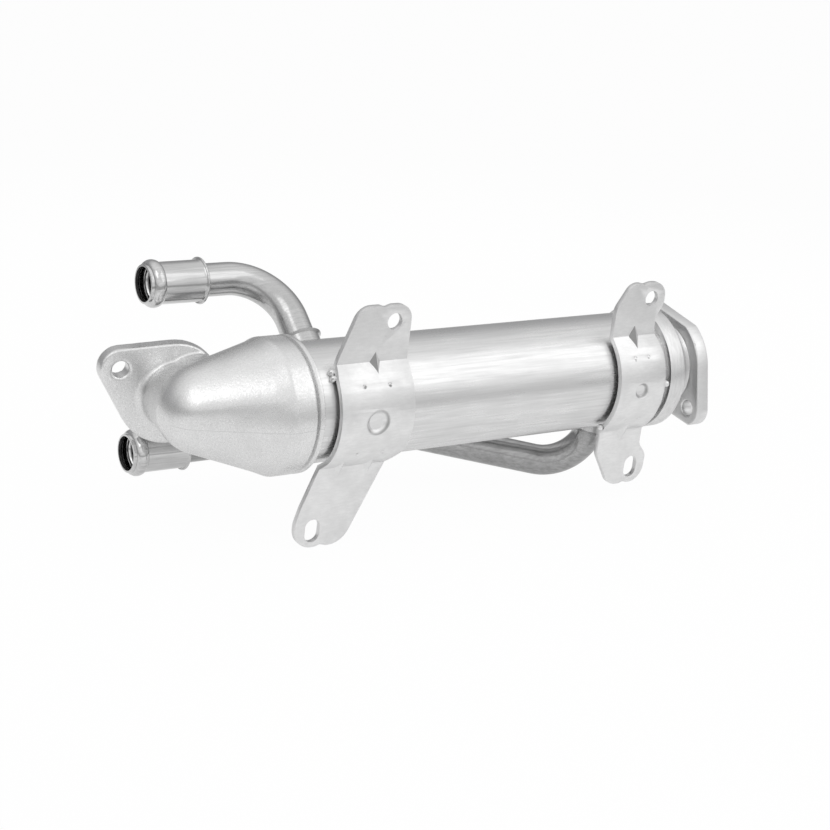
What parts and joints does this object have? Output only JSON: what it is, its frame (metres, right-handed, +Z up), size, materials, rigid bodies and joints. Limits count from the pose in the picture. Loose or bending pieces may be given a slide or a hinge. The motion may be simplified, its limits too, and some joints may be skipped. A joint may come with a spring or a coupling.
{
  "type": "exhaust gas recirculation cooler",
  "caption": "Round shell-and-tube exhaust gas cooler with a cast elbow inlet, flanged outlet, bent coolant pipes with hose nipples, and strap brackets.",
  "frame": {"origin": "centre of the gas outlet flange's outer face, on the shell axis", "axes": "+X along the shell axis, out of the gas outlet; +Z up; the bracket straps face -Y and their mounting faces +Y"},
  "size_m": [0.3519, 0.1144, 0.1356],
  "materials": {
    "shell_steel": "drawn stainless tube, satin",
    "cap_steel": "pressed stainless, satin",
    "flange_steel": "machined stainless, satin",
    "cast_steel": "investment cast stainless, blasted matte",
    "inner_steel": "stainless, dull",
    "pipe_steel": "bright drawn stainless tube",
    "nipple_steel": "polished stainless",
    "bracket_steel": "stainless sheet, satin"
  },
  "bodies": {
    "root": {"shell_tube": "shell_steel", "outlet_cap": "cap_steel", "outlet_neck": "cap_steel", "outlet_flange": "flange_steel", "inlet_casting": "cast_steel", "inlet_tube_sheet": "inner_steel", "outlet_tube_sheet": "inner_steel", "baffle_plate_1": "inner_steel", "baffle_plate_2": "inner_steel", "baffle_plate_3": "inner_steel", "gas_tube_01": "inner_steel", "gas_tube_02": "inner_steel", "gas_tube_03": "inner_steel", "gas_tube_04": "inner_steel", "gas_tube_05": "inner_steel", "gas_tube_06": "inner_steel", "gas_tube_07": "inner_steel", "gas_tube_08": "inner_steel", "gas_tube_09": "inner_steel", "gas_tube_10": "inner_steel", "gas_tube_11": "inner_steel", "gas_tube_12": "inner_steel", "gas_tube_13": "inner_steel", "gas_tube_14": "inner_steel", "gas_tube_15": "inner_steel", "gas_tube_16": "inner_steel", "gas_tube_17": "inner_steel", "gas_tube_18": "inner_steel", "gas_tube_19": "inner_steel", "upper_coolant_pipe": "pipe_steel", "lower_coolant_pipe": "pipe_steel", "upper_stub_collar": "pipe_steel", "lower_stub_collar": "pipe_steel", "upper_hose_nipple": "nipple_steel", "lower_hose_nipple": "nipple_steel", "inlet_side_bracket": "bracket_steel", "outlet_side_bracket": "bracket_steel"}
  },
  "joints": []
}
